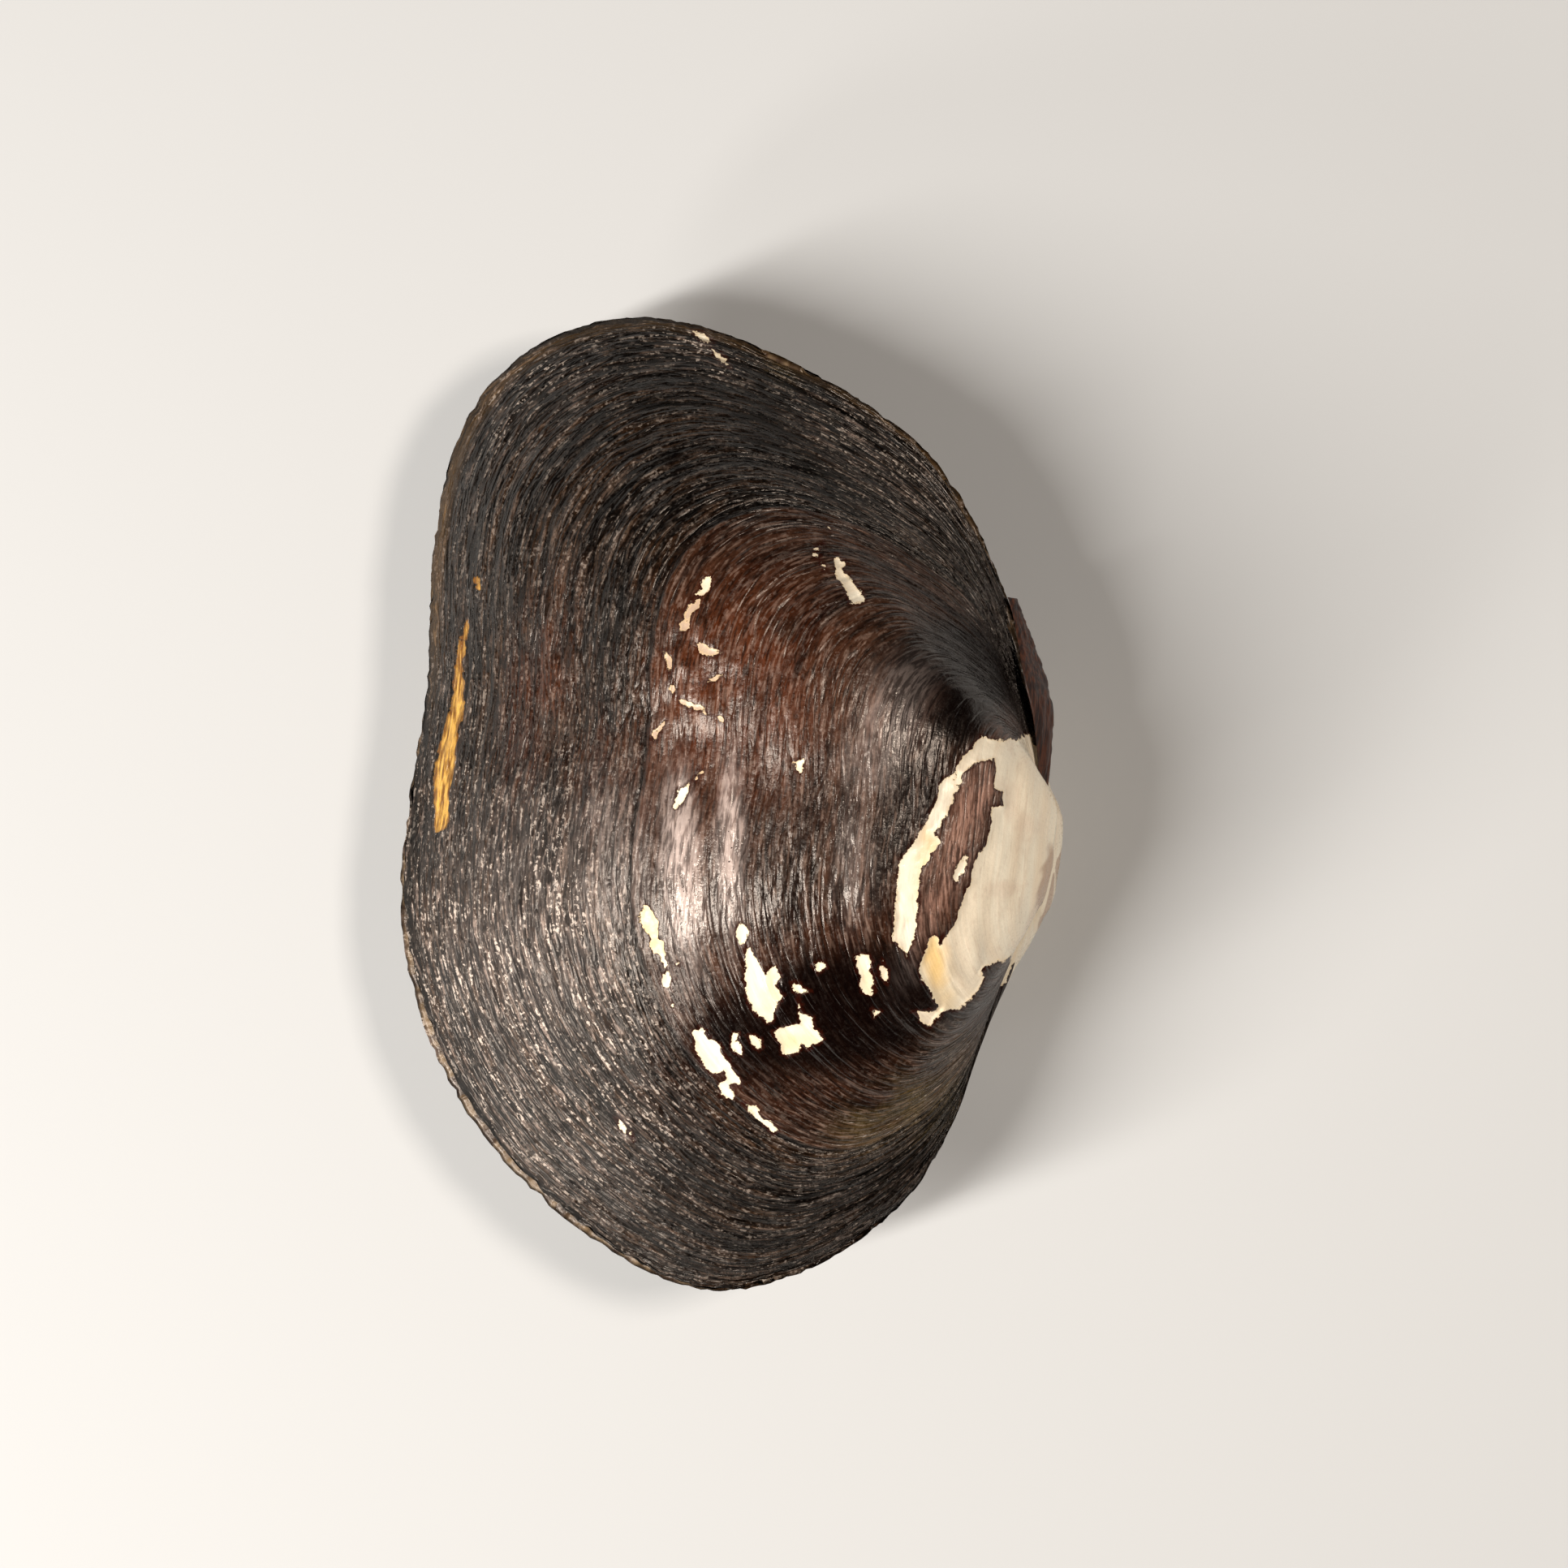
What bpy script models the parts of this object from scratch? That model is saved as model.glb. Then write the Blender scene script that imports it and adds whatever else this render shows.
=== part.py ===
"""A freshwater mussel shell, closed, lying on its left half.

Two hollow valves meet along a flat margin, and a horny ligament straps their hinge side together.
The outer face of a valve grows as a spiral.  One growth line is the margin shrunk to a share of its
size and turned about the hinge axis, so that the line rises as it shrinks and curls over at the beak.

Valve frame: +X runs along the hinge towards the rear end, +Y from the hinge towards the gape, and +Z
out of the valve, with the beak at the origin.  Lengths there are millimetres.  The closed pair is then
turned and tipped as it lies on a table, with the middle of its footprint at the world's origin.
"""

import math

import bpy
import bmesh
import numpy as np
from mathutils import Matrix

MM = 0.001

# Margin where the valves meet, from the beak round by the rear end, the gape and the front end
MARGIN = (
    (0.0, 0.3), (5.5, 0.2), (10.5, 0.3), (14.5, 0.9), (18.7, 2.6), (23.7, 5.0), (28.7, 8.0),
    (32.7, 11.6), (36.3, 17.4), (39.4, 25.1), (41.0, 34.8), (37.7, 43.4), (31.5, 48.0), (24.0, 49.4),
    (18.0, 49.4), (11.5, 48.9), (5.5, 49.1), (-1.0, 49.3), (-7.5, 48.7), (-13.7, 46.7), (-20.5, 42.7),
    (-26.5, 36.9), (-31.5, 29.1), (-33.5, 20.7), (-29.7, 12.1), (-23.2, 6.1), (-15.2, 3.4),
    (-9.0, 2.6), (-4.0, 0.9),
)
SPOKES = 60
STEPS_PER_SPAN = 40
LEAST_WIDTH = 0.4
WIDTH_SOFTENING = 0.15
LEFT_LIP = 0.7
LEFT_LIP_AT = (-20.0, 41.0)
LEFT_LIP_REACH = 20.0

# Growth: radians turned about the hinge axis per unit of ln(1 / share), tighter and narrower when young
SPIRAL = 0.92
BEAK_CURL = 0.02
BEAK_CURL_FROM = 0.5
YOUNG_NARROWING = 0.44
RIGHT_YOUNG_BACK = 3.2
LEFT_YOUNG_BACK = 2.0
RESTS = ((0.88, 0.25), (0.80, 0.25), (0.73, 0.25), (0.65, 0.40), (0.52, 0.25), (0.40, 0.20))
REST_LIP = 0.006
REST_FLOOR = 0.010
REST_FADE = 0.028
HINGE_PLAIN = 1.2
HINGE_FADE = 6.0
BETWEEN_RESTS = (0.95, 0.59, 0.46, 0.355)
WORN_FROM = 0.30
WORN_STEP = 0.25
WORN_BEAK = 0.95
UMBO_SHARES = (0.25, 0.21, 0.175, 0.145, 0.115)
BEAK_DOME = 0.5
DOME_RING_AT = math.radians(55)

# Wall and hinge plate
HALF_GAP = 0.15
MARGIN_WALL = 2.1
PLATE_WIDTH = 4.2
PLATE_SOFTENING = 0.25
PLATE_ROWS = 4
TOOTH_HEIGHT = 0.9
TOOTH_FROM = 5.0
TOOTH_TO = 24.0
TOOTH_RAMP = 0.8
TEETH_RAMP = 0.5
CARDINAL_AT = -3.5
CARDINAL_LENGTH = 4.5
INNER_AXIS = 3.8
INNER_SPIRAL = 0.86
INNER_SHARES = (0.93, 0.84, 0.73, 0.61, 0.49, 0.38, 0.28)
INNER_ROOF = 0.5

# Ligament: a strap along the hinge line behind the beak
LIGAMENT_FROM = 6.8
LIGAMENT_TO = 22.0
LIGAMENT_FRONT_RAMP = 9.0
LIGAMENT_REAR_RAMP = 7.0
LIGAMENT_THICK = (0.4, 0.5, 0.3)
LIGAMENT_HALF_WIDTH = (0.5, 2.2, 0.8)
LIGAMENT_SLOPE = 0.55
LIGAMENT_CLEAR = 0.54
LIGAMENT_FLANK = 0.15
LIGAMENT_UNDER = 0.5
LIGAMENT_STATIONS = 16
LIGAMENT_BACK_POINTS = 9
HINGE_SAMPLES = 720
HINGE_WIDTH = 7.0

# How the closed pair lies
HINGE_LEAN = math.radians(6)
HINGE_SIDE_UP = math.radians(8.2)
REAR_DOWN = math.radians(0.4)
RESTING_FLAT = 0.32
SHARP_FROM = math.radians(40)


def closed_curve(points, count):
    """Smooth closed curve through the points, as (x, y) rows at even steps along it.

    Each span is a cubic whose end slopes come from solving for equal bending on both sides of a point.
    """
    points = np.array(points)
    total = len(points)
    after = np.roll(points, -1, axis=0)
    span = np.sqrt(np.linalg.norm(after - points, axis=1))
    before_span = np.roll(span, 1)
    matrix = np.zeros((total, total))
    index = np.arange(total)
    matrix[index, index - 1] += span
    matrix[index, index] += 2 * (before_span + span)
    matrix[index, (index + 1) % total] += before_span
    gone = (points - np.roll(points, 1, axis=0)) / before_span[:, None]
    coming = (after - points) / span[:, None]
    slope = np.linalg.solve(matrix, 3 * (span[:, None] * gone + before_span[:, None] * coming))
    t = np.linspace(0, 1, STEPS_PER_SPAN, endpoint=False)[None, :, None]
    start, end = points[:, None], after[:, None]
    start_slope = (slope * span[:, None])[:, None]
    end_slope = (np.roll(slope, -1, axis=0) * span[:, None])[:, None]
    curve = (2 * t**3 - 3 * t**2 + 1) * start + (t**3 - 2 * t**2 + t) * start_slope
    curve = curve + (3 * t**2 - 2 * t**3) * end + (t**3 - t**2) * end_slope
    curve = curve.reshape(-1, 2)
    curve = np.vstack([curve, curve[:1]])
    along = np.concatenate([[0], np.cumsum(np.linalg.norm(np.diff(curve, axis=0), axis=1))])
    wanted = np.linspace(0, along[-1], count, endpoint=False)
    return np.stack([np.interp(wanted, along, curve[:, 0]), np.interp(wanted, along, curve[:, 1])], axis=1)


def outward(line):
    """Unit normals in the plane, pointing out of a closed curve that runs counter-clockwise."""
    ahead = np.roll(line, -1, axis=0) - np.roll(line, 1, axis=0)
    ahead = ahead / np.linalg.norm(ahead, axis=1)[:, None]
    return np.stack([ahead[:, 1], -ahead[:, 0]], axis=1)


def floor_softly(values, least, soften):
    """The values, kept above a least one by a smooth maximum."""
    return least + soften * np.log1p(np.exp((values - least) / soften))


def margin_line(lip):
    """The margin with its lip pushed out by up to lip around one place."""
    line = closed_curve(MARGIN, SPOKES)
    line[:, 1] = floor_softly(line[:, 1], LEAST_WIDTH, WIDTH_SOFTENING)
    distance = np.linalg.norm(line - np.array(LEFT_LIP_AT), axis=1)
    swell = lip * np.exp(-((distance / LEFT_LIP_REACH) ** 2))
    return line + swell[:, None] * outward(line)


def growth_turn(share):
    """Angle about the hinge axis of the growth line at a share of the margin's size."""
    age = math.log(1 / share)
    return SPIRAL * age + BEAK_CURL * max(age - BEAK_CURL_FROM, 0) ** 2


def growth_line(line, share, young_back):
    """The margin shrunk to a share of its size and turned about the hinge axis, as rows of points.

    A young shell was also narrower, and its middle lay a little further back along the hinge.
    """
    turn = growth_turn(share)
    reach = line[:, 1] * share * (1 - YOUNG_NARROWING * (1 - share) ** 3) + LEAST_WIDTH * (1 - share)
    along = line[:, 0] * share + young_back * (1 - share) ** 2
    return np.stack([along, reach * math.cos(turn), reach * math.sin(turn)], axis=1)


def relief(share):
    """How far the outer face stands off the smooth spiral: steps at the growth rests and the worn umbo."""
    height = 0.0
    for rest, depth in RESTS:
        if share > rest:
            height -= depth * math.exp(-(share - rest) / REST_FADE)
    if share < WORN_FROM:
        height -= WORN_STEP + (WORN_BEAK - WORN_STEP) * (1 - share / WORN_FROM)
    return height


def outer_rings(line, young_back):
    """Rings of the outer face from the beak down to the margin, ending on the margin itself."""
    shares = [1.0, *BETWEEN_RESTS, *UMBO_SHARES, WORN_FROM + REST_LIP, WORN_FROM - REST_FLOOR]
    for rest, _ in RESTS:
        shares += [rest - REST_LIP, rest + REST_FLOOR]
    shares.sort()
    rings = np.array([growth_line(line, share, young_back) for share in shares])
    across = np.gradient(rings, axis=0)
    along = np.roll(rings, -1, axis=1) - np.roll(rings, 1, axis=1)
    normal = np.cross(across, along)
    normal = normal / np.linalg.norm(normal, axis=2)[:, :, None]
    height = np.array([relief(share) for share in shares])[:, None]
    axis_distance = np.hypot(rings[:, :, 1], rings[:, :, 2])
    hinge_fade = np.clip((axis_distance - HINGE_PLAIN) / HINGE_FADE, 0, 1)
    rings = rings + normal * (height * hinge_fade)[:, :, None]
    last_turn = growth_turn(shares[0])
    forward = np.array([0.0, -math.sin(last_turn), math.cos(last_turn)])
    middle = rings[0].mean(axis=0)
    rise = forward * BEAK_DOME * math.sin(DOME_RING_AT)
    dome = middle + (rings[0] - middle) * math.cos(DOME_RING_AT) + rise
    return np.concatenate([dome[None], rings]), middle + forward * BEAK_DOME


def teeth(line, part):
    """Height of the meeting face over the hinge plate: long teeth behind the beak, a block before it.

    part runs from 0 at the outer margin to 1 at the inner edge.  The left valve's ridges stand where
    this is high, and the right valve's tooth drops where it is low.
    """
    rise = 1 / (1 + np.exp(-(line[:, 0] - TOOTH_FROM) / TOOTH_RAMP))
    fall = 1 / (1 + np.exp((line[:, 0] - TOOTH_TO) / TOOTH_RAMP))
    hinge_side = 1 / (1 + np.exp((line[:, 1] - PLATE_WIDTH) / TEETH_RAMP))
    lateral = rise * fall * -math.cos(4 * math.pi * part)
    cardinal = np.exp(-(((line[:, 0] - CARDINAL_AT) / CARDINAL_LENGTH) ** 2)) * math.sin(2 * math.pi * part)
    return TOOTH_HEIGHT * 4 * part * (1 - part) * hinge_side * (lateral + cardinal)


def valve_rings(lip, young_back, upper):
    """All rings of one valve from its beak over the margin to the roof of its hollow, and both poles."""
    line = margin_line(lip)
    outer, beak = outer_rings(line, young_back)
    outer[:, :, 2] += HALF_GAP
    beak[2] += HALF_GAP
    inner = line - MARGIN_WALL * outward(line)
    inner[:, 1] = floor_softly(inner[:, 1], PLATE_WIDTH, PLATE_SOFTENING)
    way = 1 if upper else -1
    plate = []
    for row in range(1, PLATE_ROWS + 1):
        part = row / PLATE_ROWS
        flat = line + (inner - line) * part
        height = HALF_GAP + way * teeth(line, part)
        plate.append(np.column_stack([flat, height]))
    hollow = []
    for share in INNER_SHARES:
        turn = INNER_SPIRAL * math.log(1 / share)
        reach = (inner[:, 1] - INNER_AXIS) * share
        ring = [inner[:, 0] * share, INNER_AXIS + reach * math.cos(turn), HALF_GAP + reach * math.sin(turn)]
        hollow.append(np.stack(ring, axis=1))
    middle = hollow[-1].mean(axis=0)
    hollow.append(middle + (hollow[-1] - middle) * INNER_ROOF)
    rings = np.concatenate([outer, np.array(plate), np.array(hollow)])
    return rings, beak, middle


def ring_mesh(name, rings, first_pole, last_pole, flip):
    """Closed mesh of rings joined by pairs of triangles, with a fan to the pole at each end.

    Both valves split their squares along the same diagonal, so the faces that meet run parallel.
    """
    count, spokes = rings.shape[:2]
    points = np.vstack([rings.reshape(-1, 3), first_pole, last_pole]) * MM
    first, last = count * spokes, count * spokes + 1
    faces = []
    for spoke in range(spokes):
        beside = (spoke + 1) % spokes
        faces.append((first, spoke, beside))
        end = (count - 1) * spokes
        faces.append((last, end + beside, end + spoke))
        for ring in range(count - 1):
            near, far = ring * spokes, (ring + 1) * spokes
            faces.append((near + spoke, far + spoke, far + beside))
            faces.append((near + spoke, far + beside, near + beside))
    if flip:
        faces = [face[::-1] for face in faces]
    mesh = bpy.data.meshes.new(name)
    mesh.from_pydata([tuple(point) for point in points], [], faces)
    mesh.validate()
    return mesh


def lying_turn():
    """Rotation from the valve frame to the table: the hinge's lean, then the tip of the resting pair."""
    lean = Matrix.Rotation(math.pi / 2 - HINGE_LEAN, 4, "Z")
    hinge_up = Matrix.Rotation(-HINGE_SIDE_UP, 4, "Y")
    rear_down = Matrix.Rotation(-REAR_DOWN, 4, "X")
    return rear_down @ hinge_up @ lean


def flatten_underside(mesh, turn, depth):
    """Wear a small flat of the given depth where the mesh touches the table."""
    down = np.array((turn.inverted() @ Matrix.Translation((0, 0, -1))).translation)
    points = np.array([tuple(vertex.co) for vertex in mesh.vertices])
    reach = points @ down
    excess = np.maximum(reach - (reach.max() - depth), 0)
    points = points - excess[:, None] * down
    mesh.vertices.foreach_set("co", points.ravel())


def ramped(along, front, middle, rear):
    """A size that ramps smoothly from its front value to the middle one and on to the rear one."""
    rise = min((along - LIGAMENT_FROM) / LIGAMENT_FRONT_RAMP, 1.0)
    fall = min((LIGAMENT_TO - along) / LIGAMENT_REAR_RAMP, 1.0)
    rise = rise * rise * (3 - 2 * rise)
    fall = fall * fall * (3 - 2 * fall)
    return front + (middle - front) * rise + (rear - middle) * (1 - fall)


def ligament_mesh():
    """Strap over the hinge line: a crescent section carried along the margin behind the beak.

    The section opens towards the valves as a shallow V that clears both, and its back is a round arch.
    """
    line = closed_curve(MARGIN, HINGE_SAMPLES)
    line[:, 1] = floor_softly(line[:, 1], LEAST_WIDTH, WIDTH_SOFTENING)
    hinge = line[(line[:, 1] < HINGE_WIDTH) & (line[:, 0] > 0)]
    hinge = hinge[np.argsort(hinge[:, 0])]
    sections = []
    for along in np.linspace(LIGAMENT_FROM, LIGAMENT_TO, LIGAMENT_STATIONS + 1):
        half = ramped(along, *LIGAMENT_HALF_WIDTH)
        thick = ramped(along, *LIGAMENT_THICK)
        edge = np.interp(along, hinge[:, 0], hinge[:, 1]) - LIGAMENT_CLEAR
        angles = np.linspace(0, math.pi, LIGAMENT_BACK_POINTS)
        across = half * np.cos(angles)
        arch = edge + LIGAMENT_SLOPE * np.abs(across) - LIGAMENT_FLANK - thick * np.sin(angles)
        back = np.column_stack([np.full(len(across), along), arch, across])
        under = half * np.array([-LIGAMENT_UNDER, 0.0, LIGAMENT_UNDER])
        inside = np.column_stack([np.full(len(under), along), edge + LIGAMENT_SLOPE * np.abs(under), under])
        sections.append(np.vstack([back, inside]))
    rings = np.array(sections)
    return ring_mesh("ligament", rings, rings[0].mean(axis=0), rings[-1].mean(axis=0), False)


def material(name, colour, roughness):
    """One Principled finish."""
    made = bpy.data.materials.new(name)
    made.use_nodes = True
    shader = made.node_tree.nodes["Principled BSDF"]
    shader.inputs["Base Color"].default_value = (*colour, 1)
    shader.inputs["Roughness"].default_value = roughness
    shader.inputs["Metallic"].default_value = 0.0
    return made


def place(name, mesh, finish, stand):
    """Object for one piece, under the empty that lays the pair down."""
    mesh.materials.append(finish)
    mesh.shade_smooth()
    mesh.set_sharp_from_angle(angle=SHARP_FROM)
    made = bpy.data.objects.new(name, mesh)
    made.parent = stand
    bpy.context.scene.collection.objects.link(made)
    return made


def outward_facing(mesh):
    """Turn the faces of a closed mesh outwards."""
    work = bmesh.new()
    work.from_mesh(mesh)
    bmesh.ops.recalc_face_normals(work, faces=work.faces)
    work.to_mesh(mesh)
    work.free()


def build():
    for old in list(bpy.data.objects):
        bpy.data.objects.remove(old, do_unlink=True)
    turn = lying_turn()
    upper, upper_beak, upper_roof = valve_rings(0.0, RIGHT_YOUNG_BACK, True)
    lower, lower_beak, lower_roof = valve_rings(LEFT_LIP, LEFT_YOUNG_BACK, False)
    mirror = np.array([1, 1, -1])
    right = ring_mesh("right_valve", upper, upper_beak, upper_roof, False)
    left = ring_mesh("left_valve", lower * mirror, lower_beak * mirror, lower_roof * mirror, True)
    strap = ligament_mesh()
    outward_facing(strap)
    flatten_underside(left, turn, RESTING_FLAT * MM)
    lowest, highest = np.full(3, np.inf), np.full(3, -np.inf)
    for mesh in (right, left, strap):
        points = np.array([tuple(turn @ vertex.co) for vertex in mesh.vertices])
        lowest = np.minimum(lowest, points.min(axis=0))
        highest = np.maximum(highest, points.max(axis=0))
    middle = (lowest + highest) / 2
    stand = bpy.data.objects.new("shell_lie", None)
    stand.matrix_world = Matrix.Translation((-middle[0], -middle[1], -lowest[2])) @ turn
    bpy.context.scene.collection.objects.link(stand)
    skin = material("skin_dark", (0.035, 0.024, 0.019), 0.42)
    skin_under = material("skin_dark_under", (0.040, 0.028, 0.020), 0.45)
    horn = material("horn_brown", (0.10, 0.035, 0.014), 0.38)
    place("right_valve", right, skin, stand)
    place("left_valve", left, skin_under, stand)
    place("ligament", strap, horn, stand)


build()
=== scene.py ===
"""Looks of a closed freshwater mussel shell that lies on its left half.

Both valves and the ligament are worked out afresh at a fine scale in the place of their plain solids.
A valve grows as a spiral: one growth line is the margin shrunk to a share of its size and turned about
the hinge axis, so that it rises as it shrinks and curls over at the beak.  Lengths in the tables are
millimetres in the valve frame: x along the hinge to the rear end, y from the hinge to the gape, z out.
"""

import functools
import math

import bpy
import numpy as np
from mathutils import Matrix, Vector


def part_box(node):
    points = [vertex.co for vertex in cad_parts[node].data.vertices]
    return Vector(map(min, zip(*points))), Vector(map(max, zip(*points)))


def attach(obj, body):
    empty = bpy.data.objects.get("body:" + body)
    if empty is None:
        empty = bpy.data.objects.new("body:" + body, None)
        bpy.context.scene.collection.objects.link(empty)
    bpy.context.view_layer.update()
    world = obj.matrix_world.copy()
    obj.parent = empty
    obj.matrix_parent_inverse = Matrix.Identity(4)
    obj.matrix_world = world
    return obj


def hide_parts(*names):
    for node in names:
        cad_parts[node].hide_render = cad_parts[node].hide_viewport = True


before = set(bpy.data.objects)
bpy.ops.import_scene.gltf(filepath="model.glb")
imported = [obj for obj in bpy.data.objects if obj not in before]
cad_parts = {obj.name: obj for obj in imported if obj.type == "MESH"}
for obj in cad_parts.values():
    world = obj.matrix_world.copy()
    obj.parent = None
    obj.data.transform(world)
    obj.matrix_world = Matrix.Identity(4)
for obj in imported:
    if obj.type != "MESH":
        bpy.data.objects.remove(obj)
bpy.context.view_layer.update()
MM = 0.001

# Margin where the valves meet, from the beak round by the rear end, the gape and the front end
MARGIN = (
    (0.0, 0.3), (5.5, 0.2), (10.5, 0.3), (14.5, 0.9), (18.7, 2.6), (23.7, 5.0), (28.7, 8.0),
    (32.7, 11.6), (36.3, 17.4), (39.4, 25.1), (41.0, 34.8), (37.7, 43.4), (31.5, 48.0), (24.0, 49.4),
    (18.0, 49.4), (11.5, 48.9), (5.5, 49.1), (-1.0, 49.3), (-7.5, 48.7), (-13.7, 46.7), (-20.5, 42.7),
    (-26.5, 36.9), (-31.5, 29.1), (-33.5, 20.7), (-29.7, 12.1), (-23.2, 6.1), (-15.2, 3.4),
    (-9.0, 2.6), (-4.0, 0.9),
)
SPOKES = 400
CURVE_STEPS = 60
LEAST_WIDTH = 0.4
MARGIN_SOFTENING = 0.15
LEFT_LIP = 0.7
LEFT_LIP_AT = (-20.0, 41.0)
LEFT_LIP_REACH = 20.0
EDGE_RAG = 0.10
EDGE_RAG_SIZES = (3.5, 1.4)
EDGE_RAG_FROM = (1.0, 5.0)
EDGE_RAG_REACH = 0.7
EDGE_INSET = 0.04

# Growth
SPIRAL = 0.92
BEAK_CURL = 0.02
BEAK_CURL_FROM = 0.5
YOUNG_NARROWING = 0.44
RIGHT_YOUNG_BACK = 3.2
LEFT_YOUNG_BACK = 2.0
LAST_SHARE = 0.115
LINE_LENGTH = 66.0
RESTS = ((0.88, 0.25), (0.80, 0.25), (0.73, 0.25), (0.65, 0.40), (0.52, 0.25), (0.40, 0.20))
REST_FADE = 0.028
REST_SHARPNESS = (-0.002, 0.003)
ARREST = 22.9
BEAK_DOME = 0.5
BEAK_DOME_ANGLES = np.linspace(1.35, 0.25, 6)

# Lamellae: the ages of their lips by least gap, most gap and count, and how far each steps down
LAMELLA_GAPS = ((0.40, 0.85, 54), (0.6, 1.1, 20))
FIRST_LIP = 0.35
LIP_HALF_STEP = 0.07
LAMELLA_DROP = (0.03, 0.15)
DROP_LENGTH = 7.0
DROP_PER_ROW = 0.9
YOUNG_AGES = (22.0, 24.0)
YOUNG_DROP_LOSS = 0.5
SKIN_TO = 46.5
FINE_FROM = 20.0
WORN_RINGS = 38
WORN_RINGS_AFTER = 0.3
WAVER = 0.45
WAVER_LENGTH = 14.0
WAVER_AGES = 9.0
WAVER_IN = 3.0
WAVER_OUT = 4.0

# Relief over the smooth spiral: heights, some paired with the size of what rolls or wrinkles
ROLL = (0.07, 13.0)
DIMPLE = (0.03, 4.5)
RELIEF_DOWN = 0.19
WRINKLE = (0.06, 2.4)
BARE_DEPTH = 0.14
BARE_RIM = (-0.05, 0.25)
GOLD_DEPTH = 0.12
GOLD_RIM = (-0.2, 0.3)
WORN_FOLD = 0.05
FOLD_LENGTH = 26.0
FOLD_WIDTH = 2.6
FOLD_AGES = (40.0, 44.0)
WORN_FROM = 0.30
WORN_STEP = 0.25
WORN_BEAK = 0.95
LEFT_WORN_FROM = 44.0
LEFT_WORN_RAG = (0.5, 5.0)
EDGE_FADE = 0.6
HINGE_FADE = 6.0

# Wall and hinge plate
HALF_GAP = 0.15
MARGIN_WALL = 2.1
PLATE_WIDTH = 4.2
PLATE_SOFTENING = 0.25
PLATE_ROWS = 6
TOOTH_HEIGHT = 0.9
TOOTH_FROM = 5.0
TOOTH_TO = 24.0
TOOTH_RAMP = 0.8
TOOTH_SIDE_RAMP = 0.5
CARDINAL_AT = -3.5
CARDINAL_LENGTH = 4.5
INNER_AXIS = 3.8
INNER_SPIRAL = 0.86
INNER_SHARES = np.linspace(0.95, 0.28, 10)
ROOF_SHRINKS = (0.75, 0.5, 0.25)
WALL_COLOUR_FROM = (14.0, 24.0)

# Ligament
LIGAMENT_FROM = 6.8
LIGAMENT_TO = 22.0
LIGAMENT_FRONT_RAMP = 9.0
LIGAMENT_REAR_RAMP = 7.0
LIGAMENT_THICK = (0.4, 0.5, 0.3)
LIGAMENT_HALF_WIDTH = (0.5, 2.2, 0.8)
LIGAMENT_SLOPE = 0.55
LIGAMENT_CLEAR = 0.30
LIGAMENT_LIFT = 0.15
LIGAMENT_RINGS = 150
LIGAMENT_BACK_POINTS = 41
LIGAMENT_UNDER_POINTS = 9
LIGAMENT_UNDER_WIDTH = 0.6
LIGAMENT_MARGIN_STEPS = 1440
LIGAMENT_MARGIN_WIDTH = 7.0
FIBRE_HEIGHT = 0.04
CRACK_HEIGHT = 0.06

# How the closed pair lies, and the camera over it
HINGE_LEAN = math.radians(6)
HINGE_SIDE_UP = math.radians(8.2)
REAR_DOWN = math.radians(0.4)
PHOTO_SIDE = 1932
PIXELS_PER_MM = 16.0
SCALE_HEIGHT = 14.8
SHELL_MIDDLE_PIXEL = (898, 990)
CAMERA_HEIGHT = 330.0
SENSOR = 36.0
CAMERA_AT = (
    (PHOTO_SIDE / 2 - SHELL_MIDDLE_PIXEL[0]) / PIXELS_PER_MM,
    (SHELL_MIDDLE_PIXEL[1] - PHOTO_SIDE / 2) / PIXELS_PER_MM,
    CAMERA_HEIGHT,
)


def closed_curve(points, count):
    """Smooth closed curve through the points, as (x, y) rows at even steps along it.

    Each span is a cubic whose end slopes come from solving for equal bending on both sides of a point.
    """
    points = np.array(points)
    total = len(points)
    after = np.roll(points, -1, axis=0)
    span = np.sqrt(np.linalg.norm(after - points, axis=1))
    before_span = np.roll(span, 1)
    matrix = np.zeros((total, total))
    index = np.arange(total)
    matrix[index, index - 1] += span
    matrix[index, index] += 2 * (before_span + span)
    matrix[index, (index + 1) % total] += before_span
    gone = (points - np.roll(points, 1, axis=0)) / before_span[:, None]
    coming = (after - points) / span[:, None]
    slope = np.linalg.solve(matrix, 3 * (span[:, None] * gone + before_span[:, None] * coming))
    t = np.linspace(0, 1, CURVE_STEPS, endpoint=False)[None, :, None]
    start, end = points[:, None], after[:, None]
    start_slope = (slope * span[:, None])[:, None]
    end_slope = (np.roll(slope, -1, axis=0) * span[:, None])[:, None]
    curve = (2 * t**3 - 3 * t**2 + 1) * start + (t**3 - 2 * t**2 + t) * start_slope
    curve = curve + (3 * t**2 - 2 * t**3) * end + (t**3 - t**2) * end_slope
    curve = curve.reshape(-1, 2)
    curve = np.vstack([curve, curve[:1]])
    along = np.concatenate([[0], np.cumsum(np.linalg.norm(np.diff(curve, axis=0), axis=1))])
    wanted = np.linspace(0, along[-1], count, endpoint=False)
    return np.stack([np.interp(wanted, along, curve[:, axis]) for axis in range(2)], axis=1)


def outward(line):
    """Unit normals in the plane, pointing out of a closed curve that runs counter-clockwise."""
    ahead = np.roll(line, -1, axis=0) - np.roll(line, 1, axis=0)
    ahead = ahead / np.linalg.norm(ahead, axis=1)[:, None]
    return np.stack([ahead[:, 1], -ahead[:, 0]], axis=1)


def floor_softly(values, least, soften):
    """The values, kept above a least one by a smooth maximum."""
    return least + soften * np.log1p(np.exp((values - least) / soften))


def smooth(values, low, high):
    """0 below low, 1 above high, and a smooth cubic ramp between."""
    t = np.clip((values - low) / (high - low), 0, 1)
    return t * t * (3 - 2 * t)


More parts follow.
